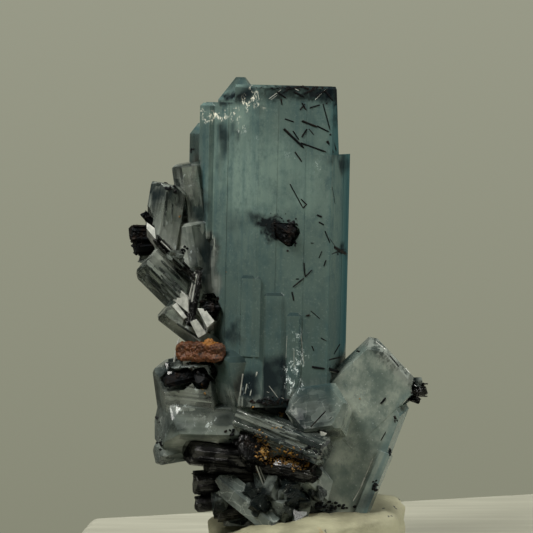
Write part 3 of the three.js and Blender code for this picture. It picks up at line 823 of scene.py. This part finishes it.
draw = random.Random(BUNCH_SEED)
bunches = []
for name, crystals in SCHORL_BUNCHES.items():
    prisms = []
    core, splinters = LOOSE_BUNDLES.get(name, (1.0, SPLINTERS))
    for foot, tip, width in crystals:
        foot, tip = Vector(foot), Vector(tip)
        full = (width + 2 * SEAT_FILL) * core
        prisms.append(ribbed_prism(foot, tip, full, RIBS, 1.0, draw.uniform(*RIB_SEEDS)))
        axis = tip - foot
        side = axis.orthogonal().normalized()
        for _ in range(splinters):
            round_axis = Matrix.Rotation(draw.uniform(0, 2 * math.pi), 3, axis)
            offset = round_axis @ side * width * draw.uniform(*SPLINTER_OFFSET)
            thin = width * draw.uniform(*SPLINTER_WIDTH)
            start = foot + offset + axis * draw.uniform(*SPLINTER_START)
            end = foot + offset + axis * draw.uniform(*SPLINTER_END)
            flatness = draw.uniform(*SPLINTER_FLATNESS)
            seed = draw.uniform(*RIB_SEEDS)
            prisms.append(ribbed_prism(start, end, thin, SPLINTER_SIDES, flatness, seed))
    bunch = joined(name.replace("schorl", "ribbed"), prisms)
    dress(bunch, (dull if name in DULL_BUNCHES else black).owner, "schorl", name)
    bunches.append(bunch)

# Rusty grain: a knobbly rod of altered mineral, soaked with red-brown iron oxide, with one orange lump on
# its top. It lies on the block at the left, beside the main prism.
RUST_ENDS = (Vector((-12.8, -5.4, 20.0)), Vector((-8.1, -6.3, 19.9)))
RUST_THICKNESS = 2.0
RUST_SQUARENESS = 0.16
RUST_KNOBS = ((0.9, 0.16), (2.3, 0.12), (5.0, 0.12))
LUMP_CENTRE = Vector((-9.6, -6.2, 20.75))
LUMP_RADIUS = 0.52
LUMP_KNOBS = ((1.6, 0.25), (4.0, 0.12))
ORANGE_COATS = ((LUMP_CENTRE, (1.2, 1.4, 1.1), 1.5),)
RUST_TINTS = ((0.024, 0.009, 0.005), (0.100, 0.034, 0.012))
RUST_PALE = (0.155, 0.080, 0.036)
RUST_DARK = (0.012, 0.008, 0.004)
RUST_ORANGE = (0.190, 0.078, 0.014)

rod = added("rod", bpy.ops.mesh.primitive_uv_sphere_add, segments=64, ring_count=96, radius=1.0)
rust_stand = axis_frame(*RUST_ENDS, RUST_THICKNESS)
for vertex in rod.data.vertices:
    x, y, z = vertex.co
    drawn = math.asin(max(-1.0, min(1.0, z))) * 2 / math.pi
    ring = max(math.hypot(x, y), 1e-6)
    square = 1 - RUST_SQUARENESS * math.cos(4 * math.atan2(y, x))
    fullness = max(1 - drawn ** 10, 0.0) ** 0.5 * square / ring
    point = rust_stand @ Vector((x * fullness, y * fullness, 0.5 + 0.52 * drawn))
    outward = (rust_stand.to_3x3() @ Vector((x, y, 0.0))).normalized()
    vertex.co = (point + outward * pushed(point, RUST_KNOBS)) * MM
lump = added("lump", bpy.ops.mesh.primitive_ico_sphere_add, subdivisions=4, radius=1.0)
for vertex in lump.data.vertices:
    swell = 1 + pushed(vertex.co, LUMP_KNOBS)
    vertex.co = (LUMP_CENTRE + vertex.co * LUMP_RADIUS * swell) * MM
rusty_grain = joined("rusty_rod", [rod, lump])
paint(rusty_grain, "coats", (inside(ORANGE_COATS),))

rust = Tree(bpy.data.materials.new("red_brown_rust"))
spot = rust.place()
coats = rust.noise(spot, 650.0, detail=5.0, roughness=0.65)
crust = rust.noise(spot, 3000.0, detail=3.0)
orange, _, _ = rust.painted("coats")
rust_colour = rust.mix(coats.between(0.35, 0.6), *RUST_TINTS)
rust_colour = rust.mix(crust.between(0.52, 0.68) * 0.6, rust_colour, RUST_PALE)
rust_colour = rust.mix(crust.between(0.42, 0.32), rust_colour, RUST_DARK)
rust_colour = rust.mix(orange.between(0.1, 0.7), rust_colour, RUST_ORANGE)
rust_sockets = {
    "Base Color": rust_colour,
    "Roughness": 0.5,
    "Specular IOR Level": 0.25,
    "Normal": rust.bump(crust + coats, 0.10 * MM),
}
rust.surface(rust.node("ShaderNodeBsdfPrincipled", {}, rust_sockets))
dress(rusty_grain, rust.owner, "rust", "rusty_grain")

# Schorl needles and grains: thin black needles that lie in the aquamarine's skin, and black-brown crumbs of
# schorl on the crystals' ends and in the cracks between them. All are half sunk in what carries them. Their
# places are in x and z, as seen from the camera at the specimen's middle.
NEEDLES = (
    ((-2.1, 42.9), (-1.2, 42.6), 0.18),
    ((-0.4, 42.7), (1.1, 42.1), 0.30),
    ((1.1, 42.2), (2.3, 41.6), 0.20),
    ((1.7, 44.4), (2.4, 41.8), 0.16),
    ((2.4, 41.4), (3.0, 39.7), 0.34),
    ((2.1, 40.7), (2.7, 39.5), 0.40),
    ((-0.4, 41.1), (0.1, 41.9), 0.24),
    ((0.3, 41.9), (0.8, 41.3), 0.14),
    ((-2.2, 41.9), (-0.2, 40.0), 0.36),
    ((-1.3, 41.7), (-0.7, 40.8), 0.20),
    ((-0.5, 40.5), (2.0, 39.6), 0.24),
    ((-1.1, 39.6), (-0.4, 38.6), 0.20),
    ((-1.6, 36.4), (-0.3, 34.0), 0.16),
    ((-0.3, 34.0), (0.1, 34.4), 0.18),
    ((-0.5, 34.9), (0.1, 34.3), 0.18),
    ((1.1, 33.3), (1.6, 33.1), 0.26),
    ((1.3, 32.6), (1.8, 32.3), 0.22),
    ((2.6, 36.1), (2.9, 34.4), 0.12),
    ((1.9, 31.7), (2.4, 30.5), 0.18),
    ((0.5, 30.5), (2.5, 30.3), 0.16),
    ((2.8, 30.1), (4.0, 29.4), 0.45),
    ((1.3, 29.0), (1.6, 29.7), 0.14),
    ((1.8, 28.2), (2.0, 28.8), 0.18),
    ((-0.2, 28.5), (-0.1, 27.2), 0.22),
    ((-0.1, 27.1), (0.6, 27.8), 0.20),
    ((-1.3, 26.1), (-0.2, 27.0), 0.20),
    ((-1.0, 26.9), (-0.7, 26.9), 0.14),
    ((-1.4, 25.6), (-1.2, 24.7), 0.20),
    ((0.0, 23.2), (0.4, 23.3), 0.26),
    ((0.5, 23.7), (1.4, 22.9), 0.12),
    ((1.5, 21.0), (2.2, 20.6), 0.18),
    ((0.6, 20.2), (0.8, 19.7), 0.18),
    ((2.8, 19.4), (3.4, 20.4), 0.20),
    ((2.3, 18.8), (3.5, 19.1), 0.20),
    ((0.6, 18.1), (1.9, 17.9), 0.30),
    ((2.3, 17.9), (3.3, 17.6), 0.44),
    ((2.4, 30.9), (3.2, 29.7), 0.12),
    ((2.6, 29.4), (3.9, 29.9), 0.14),
    ((-2.3, 45.5), (-1.5, 46.0), 0.24),
    ((-2.5, 44.9), (-2.4, 44.3), 0.20),
    ((-0.4, 44.5), (0.0, 43.8), 0.22),
    ((-0.6, 43.8), (-0.1, 44.4), 0.20),
    ((0.4, 44.0), (1.4, 44.3), 0.20),
    ((-1.7, 45.9), (-0.3, 46.1), 0.34),
    ((-0.5, 46.1), (0.3, 45.9), 0.30),
    ((0.6, 45.9), (1.0, 46.1), 0.24),
    ((-2.9, 45.6), (-2.0, 45.0), 0.26),
    ((-1.2, 45.6), (-0.2, 45.1), 0.30),
    ((-0.2, 45.4), (0.9, 45.9), 0.24),
    ((1.0, 45.2), (2.2, 45.9), 0.26),
    ((1.9, 45.7), (2.7, 44.7), 0.28),
    ((2.0, 44.4), (2.9, 45.2), 0.24),
    ((0.5, 12.1), (2.0, 13.7), 0.16),
    ((1.3, 11.8), (2.6, 13.1), 0.16),
    ((7.5, 14.4), (8.0, 15.0), 0.28),
    ((7.5, 10.7), (8.0, 11.6), 0.12),
    ((8.4, 19.2), (9.3, 18.1), 0.20),
    ((5.1, 19.7), (5.4, 19.6), 0.22),
)
NEEDLE_THINNESS = 0.7
TAPER_START = 0.38
GRAIN_PATCHES = (
    ((-16.0, 32.8), (0.3, 0.6), 6, 0.40),
    ((-13.6, 36.0), (0.6, 0.3), 6, 0.40),
    ((-11.4, 39.8), (0.2, 0.3), 3, 0.40),
    ((-12.2, 29.9), (0.5, 0.5), 9, 0.40),
    ((-14.8, 12.8), (0.2, 0.5), 4, 0.30),
    ((-14.6, 10.2), (0.4, 0.8), 9, 0.40),
    ((-7.6, 11.4), (0.5, 0.5), 8, 0.40),
    ((9.0, 12.8), (0.3, 0.4), 5, 0.32),
    ((8.4, 9.6), (0.1, 0.5), 7, 0.36),
    ((6.9, 6.2), (0.3, 0.5), 14, 0.42),
    ((11.0, 16.1), (0.7, 0.8), 18, 0.32),
    ((3.5, 29.6), (0.4, 0.25), 12, 0.26),
    ((-0.8, 46.0), (4.0, 0.12), 46, 0.24),
    ((-1.6, 31.5), (0.8, 1.3), 80, 0.42),
    ((-2.7, 32.1), (1.0, 1.1), 60, 0.18),
    ((-9.6, 24.3), (0.7, 1.3), 70, 0.36),
    ((-5.3, 10.4), (1.3, 1.0), 60, 0.40),
    ((-12.0, 17.5), (2.0, 0.7), 70, 0.34),
    ((-3.6, 14.6), (1.8, 0.5), 34, 0.38),
    ((-0.2, 9.0), (1.6, 1.1), 44, 0.42),
    ((1.6, 4.1), (2.8, 0.4), 44, 0.42),
    ((-16.8, 30.9), (0.7, 1.4), 70, 0.40),
    ((-13.9, 36.6), (0.4, 0.3), 6, 0.40),
    ((-16.0, 33.4), (0.3, 0.4), 6, 0.40),
)
GRAIN_SEED = 3
CRUMB_SEEDS = (1.0, 4.0, 7.0, 11.0)
CRUMB_SINK = 0.1


def touch_tree(pieces):
    """The skins of several pieces in millimetres, to drop small things on."""
    points, faces = [], []
    for piece in pieces:
        start = len(points)
        points += [vertex.co / MM for vertex in piece.data.vertices]
        faces += [[start + i for i in face.vertices] for face in piece.data.polygons]
    return BVHTree.FromPolygons(points, faces)


skins = touch_tree([aquamarine, rusty_grain, *bunches])


def landing(x, z):
    """Where the line of sight through x and z at the specimen's middle meets a skin, and the normal."""
    place, normal, _, _ = skins.ray_cast(eye, (Vector((x, 0.0, z)) - eye).normalized())
    return place, normal


def copies(name, templates, stands):
    """Copies of small templates, each with its own mesh and stood by its own matrix, joined in one piece."""
    made = []
    for number, stand in enumerate(stands):
        copy = templates[number % len(templates)].copy()
        copy.data = copy.data.copy()
        copy.data.transform(Matrix.Scale(MM, 4) @ stand)
        scene.collection.objects.link(copy)
        made.append(copy)
    return joined(name, made)


def tapered_rod(name, sides, blunt):
    """A unit rod along Z whose far end is drawn in to a blunt tip."""
    rod = ringed_rod(name, sides, TAPER_START)
    for vertex in rod.data.vertices:
        if vertex.co.z > (TAPER_START + 0.5) / 2:
            vertex.co.xy *= blunt
        vertex.co.z += 0.5
    return rod


def crumb(name, seed):
    """A small broken lump, about 1 across."""
    lump = added(name, bpy.ops.mesh.primitive_ico_sphere_add, subdivisions=1, radius=0.5)
    for vertex in lump.data.vertices:
        vertex.co *= 1 + 0.5 * noise.noise(vertex.co * 3.0 + Vector((seed, 0.0, 0.0)))
    return lump


def strewn(patch_table, draw):
    """Stands for crumbs: each patch is a centre and half widths in x and z, a count and a size."""
    stands = []
    for centre, halves, count, size in patch_table:
        for _ in range(count):
            x, z = (middle + half * draw.gauss(0.0, 0.5) for middle, half in zip(centre, halves))
            place, normal = landing(x, z)
            if place is None:
                continue
            way = Vector([draw.uniform(-1, 1) for _ in range(3)])
            turn = way.to_track_quat("Z", "Y").to_matrix().to_4x4()
            width = size * draw.uniform(0.5, 1.2)
            depth = width * draw.uniform(0.6, 1.0)
            height = width * draw.uniform(0.7, 1.3)
            sunk = Matrix.Translation(place - normal * CRUMB_SINK * width)
            stands.append(sunk @ turn @ Matrix.Diagonal((width, depth, height, 1.0)))
    return stands


def rods_between(table, thinness=1.0):
    """Stands for thin rods that lie on the skin between two points in x and z, each with its width."""
    stands = []
    for (from_x, from_z), (to_x, to_z), width in table:
        start, _ = landing(from_x, from_z)
        end, _ = landing(to_x, to_z)
        if start and end:
            stands.append(axis_frame(start, end, width * thinness))
    return stands


needle = tapered_rod("needle", 6, 0.5)
needles = copies("schorl_needles", [needle], rods_between(NEEDLES, NEEDLE_THINNESS))
dress(needles, dull.owner, "schorl")

crumb_kinds = [crumb("crumb", seed) for seed in CRUMB_SEEDS]
black_grains = copies("schorl_grains", crumb_kinds, strewn(GRAIN_PATCHES, random.Random(GRAIN_SEED)))
dress(black_grains, dull.owner, "schorl")

# Iron crust: earthy crumbs of iron oxide, yellow to orange, in the hollow over the foot, and a few stray
# specks on the crystals above it. Each crumb sticks to the skin that carries it.
IRON_PATCHES = (
    ((-4.4, 9.9), (0.8, 1.5), 120, 0.22),
    ((-3.6, 9.0), (0.8, 1.0), 50, 0.22),
    ((-1.6, 9.0), (1.3, 0.9), 100, 0.23),
    ((-0.5, 8.4), (1.1, 0.6), 80, 0.21),
    ((-10.4, 15.8), (0.25, 0.7), 9, 0.26),
    ((-5.5, 14.1), (0.2, 0.3), 4, 0.24),
    ((-2.5, 13.3), (0.35, 0.3), 8, 0.28),
    ((-3.1, 12.0), (0.5, 0.15), 5, 0.18),
    ((-12.7, 33.1), (0.1, 0.15), 2, 0.30),
    ((5.4, 14.9), (0.02, 0.02), 1, 0.22),
    ((-8.0, 27.6), (0.02, 0.02), 1, 0.16),
)
IRON_SEED = 5
OCHRE_TINTS = ((0.10, 0.040, 0.006), (0.30, 0.150, 0.018))
OCHRE_PALE = (0.40, 0.27, 0.09)

ochre = Tree(bpy.data.materials.new("ochre_iron_crust"))
tint = ochre.noise(ochre.place(), 1600.0, detail=3.0)
ochre_colour = ochre.mix(tint.between(0.35, 0.55), *OCHRE_TINTS)
ochre_colour = ochre.mix(tint.between(0.60, 0.70), ochre_colour, OCHRE_PALE)
ochre.surface(ochre.node("ShaderNodeBsdfPrincipled", {}, {"Base Color": ochre_colour, "Roughness": 0.5}))
iron_grains = copies("iron_crust", crumb_kinds, strewn(IRON_PATCHES, random.Random(IRON_SEED)))
dress(iron_grains, ochre.owner, "rust")

# Aquamarine chips: broken pieces that fill the hollows between the large crystals, and thin growth laths
# that run along the smaller crystals' sides. They are of the same beryl, half sunk in what carries them.
CHIP_PATCHES = (
    ((-4.6, 5.2), (3.0, 1.2), 13, 2.2),
    ((-1.4, 5.3), (1.9, 1.3), 13, 2.5),
    ((1.4, 5.0), (0.8, 0.7), 4, 1.6),
    ((11.2, 16.3), (0.5, 0.5), 8, 0.9),
    ((-13.3, 17.8), (0.6, 0.2), 4, 1.2),
    ((-12.8, 28.4), (1.4, 1.4), 8, 0.8),
)
LATH_ROWS = (
    ((-12.4, 23.4), (-16.4, 27.4), (2.4, 2.6), 13, 0.32),
    ((-14.8, 29.8), (-14.4, 36.0), (1.4, 0.2), 3, 0.26),
    ((-11.4, 27.4), (-12.6, 38.2), (1.2, 0.2), 3, 0.26),
    ((-9.6, 19.2), (-14.4, 22.4), (1.4, 2.0), 7, 0.28),
    ((-6.2, 12.2), (1.9, 9.2), (0.8, 2.2), 7, 0.22),
)
CHIP_SEED = 8
SHARD_KINDS = 5
SHARD_CUTS = 6
SHARD_REACH = 0.36
STEEPEST_LATH = 0.45
CHIP_TINTS = ((0.006, 0.009, 0.009), (0.140, 0.160, 0.145))
CHIP_PAINTED_GLINT = (0.45, 0.48, 0.45)


def shard(name, draw):
    """A broken piece about 1 across: a block whose corners are cut off at random."""
    block = added(name, bpy.ops.mesh.primitive_cube_add, size=1.0)
    bpy.ops.object.mode_set(mode="EDIT")
    for _ in range(SHARD_CUTS):
        way = Vector([draw.uniform(-1, 1) for _ in range(3)]).normalized()
        bpy.ops.mesh.select_all(action="SELECT")
        bpy.ops.mesh.bisect(plane_co=way * SHARD_REACH, plane_no=way, clear_outer=True, use_fill=True)
    bpy.ops.object.mode_set(mode="OBJECT")
    return block


chip_draw = random.Random(CHIP_SEED)
shard_kinds = [shard("shard", chip_draw) for _ in range(SHARD_KINDS)]
chips = [copies("aquamarine_chips", shard_kinds, strewn(CHIP_PATCHES, chip_draw))]
lath = tapered_rod("lath", 6, 0.6)
lath_stands = []
for (from_x, from_z), (to_x, to_z), (step_x, step_z), count, width in LATH_ROWS:
    for number in range(count):
        across = (number + chip_draw.uniform(0.0, 1.0)) / count
        first, last = sorted((chip_draw.uniform(0.0, 0.6), chip_draw.uniform(0.3, 1.0)))
        spots = []
        for along in (first, (first + last) / 2, last):
            x = from_x + (to_x - from_x) * along + step_x * across
            z = from_z + (to_z - from_z) * along + step_z * across
            spots.append(landing(x, z)[0])
        if None in spots:
            continue
        start, middle, end = spots
        length = (end - start).length
        lifted = (middle - (start + end) / 2).length
        if lifted > width or length < 2 * width or abs(end.y - start.y) > STEEPEST_LATH * length:
            continue
        lath_stands.append(axis_frame(start, end, width * chip_draw.uniform(0.5, 1.2)))
chips.append(copies("laths", [lath], lath_stands))
chips = joined("aquamarine_chips", chips)
for template in [lath, *shard_kinds, *crumb_kinds]:
    bpy.data.objects.remove(template)

glassy = Tree(bpy.data.materials.new("clear_chips"))
spot = glassy.place()
tone = glassy.noise(spot, 420.0, detail=3.0)
spark = glassy.noise(spot, 3600.0, detail=2.0)
chip_colour = glassy.mix(tone.between(0.42, 0.68), *CHIP_TINTS)
# Painted glints: pale flecks in the chips' colour.
chip_colour = glassy.mix(spark.between(0.66, 0.74) * 0.6, chip_colour, CHIP_PAINTED_GLINT)
chip_milk_sockets = {"Base Color": chip_colour, "Roughness": 0.32, "Specular IOR Level": 0.12}
chip_milk = glassy.node("ShaderNodeBsdfPrincipled", {}, chip_milk_sockets)
chip_clear_sockets = {
    "Base Color": (0.93, 0.97, 0.97),
    "Roughness": 0.18,
    "IOR": BERYL_IOR,
    "Transmission Weight": 1.0,
}
chip_clear = glassy.node("ShaderNodeBsdfPrincipled", {}, chip_clear_sockets)
chip_share = tone.between(0.3, 0.7) * 0.16 + 0.74
chip_skin = glassy.node("ShaderNodeMixShader", {}, {0: chip_share, 1: chip_clear, 2: chip_milk})
chip_inside = glassy.node("ShaderNodeVolumeAbsorption", {}, {"Color": (0.50, 0.68, 0.72), "Density": 200.0})
glassy.surface(chip_skin, Volume=chip_inside)
dress(chips, glassy.owner, "aquamarine")

# Cleavage plates: flat breaks in the crystals at the left and foot that mirror the light, thin as a flake,
# and hairlines along cracks and edges, all painted pale as painted highlights. A glassy sliver stands beside
# the rusty grain, with the same painted highlight.
PLATES = (
    ((-12.6, 25.9), (-11.6, 24.9), (-11.7, 23.5), (-13.2, 24.8)),
    ((-13.4, 24.2), (-13.0, 24.4), (-11.9, 23.0), (-12.3, 22.7)),
    ((-10.9, 24.0), (-10.1, 23.6), (-9.2, 21.9), (-9.9, 21.5)),
    ((1.4, 11.7), (1.9, 11.6), (1.9, 11.2), (1.5, 11.2)),
    ((-11.6, 22.6), (-10.9, 23.0), (-9.9, 21.6), (-10.7, 21.1)),
    ((-15.9, 31.9), (-15.1, 31.4), (-15.0, 30.8), (-15.9, 31.1)),
)
GLINTS = (
    ((-3.7, 44.9), (-2.5, 45.8), 0.07),
    ((-3.5, 44.8), (-2.6, 45.5), 0.05),
    ((-1.3, 46.0), (-0.7, 45.7), 0.08),
    ((0.9, 44.8), (1.9, 45.8), 0.05),
    ((-1.8, 22.1), (-1.1, 22.1), 0.05),
    ((-1.8, 21.3), (-0.7, 21.3), 0.05),
    ((-1.9, 21.2), (-2.0, 19.0), 0.04),
    ((-0.5, 21.3), (-0.2, 18.2), 0.05),
    ((-1.2, 20.0), (-1.2, 18.0), 0.04),
    ((-3.9, 15.6), (-2.2, 14.9), 0.06),
    ((-3.7, 16.2), (-2.8, 15.0), 0.05),
    ((-6.3, 17.4), (-6.6, 15.2), 0.14),
    ((-4.9, 17.6), (-5.6, 15.2), 0.16),
    ((-5.9, 16.4), (-6.1, 15.4), 0.12),
    ((-5.0, 8.2), (-4.1, 5.8), 0.15),
    ((-4.7, 8.1), (-4.0, 6.4), 0.12),
    ((8.5, 10.1), (6.7, 8.9), 0.08),
    ((6.7, 8.9), (5.9, 7.0), 0.09),
    ((5.9, 7.0), (5.5, 6.0), 0.16),
    ((5.5, 6.0), (4.7, 4.6), 0.09),
    ((2.4, 17.7), (3.2, 17.5), 0.20),
    ((-14.5, 30.7), (-12.7, 28.8), 0.20),
    ((-14.2, 30.9), (-12.4, 29.0), 0.14),
    ((-10.9, 27.4), (-11.4, 24.6), 0.26),
    ((-11.3, 26.8), (-11.7, 25.0), 0.14),
    ((-11.1, 27.6), (-11.6, 24.8), 0.12),
    ((7.0, 20.6), (8.0, 19.8), 0.14),
    ((10.0, 17.9), (10.4, 17.4), 0.18),
)
SLIVER = (Vector((-13.1, -5.2, 18.8)), Vector((-12.6, -5.0, 21.2)), 0.22)
PLATE_RISE = 0.05
PLATE_DEPTH = 0.15
PLATE_CHAMFER = 0.02
PLATE_CORNERS = {(-1, 1): 0, (1, 1): 1, (1, -1): 2, (-1, -1): 3}
PEARL_HIGHLIGHT_TINTS = ((0.24, 0.25, 0.23), (0.48, 0.49, 0.45))

plates = []
for corners in PLATES:
    landings = [landing(x, z) for x, z in corners]
    if any(place is None for place, _ in landings):
        continue
    middle = sum((place for place, _ in landings), Vector()) / len(corners)
    facing = sum((normal for _, normal in landings), Vector()).normalized()
    heights = [facing.dot(place - middle) for place, _ in landings]
    plate = added("plate", bpy.ops.mesh.primitive_cube_add, size=2.0)
    for vertex in plate.data.vertices:
        place, _ = landings[PLATE_CORNERS[(round(vertex.co.x), round(vertex.co.y))]]
        level = place - facing * facing.dot(place - middle)
        rise = max(heights) + PLATE_RISE if vertex.co.z > 0 else min(heights) - PLATE_DEPTH
        vertex.co = (level + facing * rise) * MM
    bpy.ops.object.mode_set(mode="EDIT")
    bpy.ops.mesh.select_all(action="SELECT")
    bpy.ops.mesh.normals_make_consistent(inside=False)
    bpy.ops.mesh.bevel(offset=PLATE_CHAMFER * MM, segments=1)
    bpy.ops.object.mode_set(mode="OBJECT")
    plates.append(plate)
plates.append(copies("glints", [needle], [*rods_between(GLINTS), axis_frame(*SLIVER)]))
bpy.data.objects.remove(needle)
cleavage = joined("cleavage_plates", plates)

highlight_pearl = Tree(bpy.data.materials.new("pearly_cleavage_painted_highlight"))
sheen = highlight_pearl.noise(highlight_pearl.place(), 1400.0, detail=4.0)
# Painted highlight: the plates, hairlines and sliver are painted pale.
painted_highlight_colour = highlight_pearl.mix(sheen.between(0.3, 0.7), *PEARL_HIGHLIGHT_TINTS)
pearl_sockets = {"Base Color": painted_highlight_colour, "Roughness": 0.18, "IOR": BERYL_IOR}
highlight_pearl.surface(highlight_pearl.node("ShaderNodeBsdfPrincipled", {}, pearl_sockets))
dress(cleavage, highlight_pearl.owner, "aquamarine")
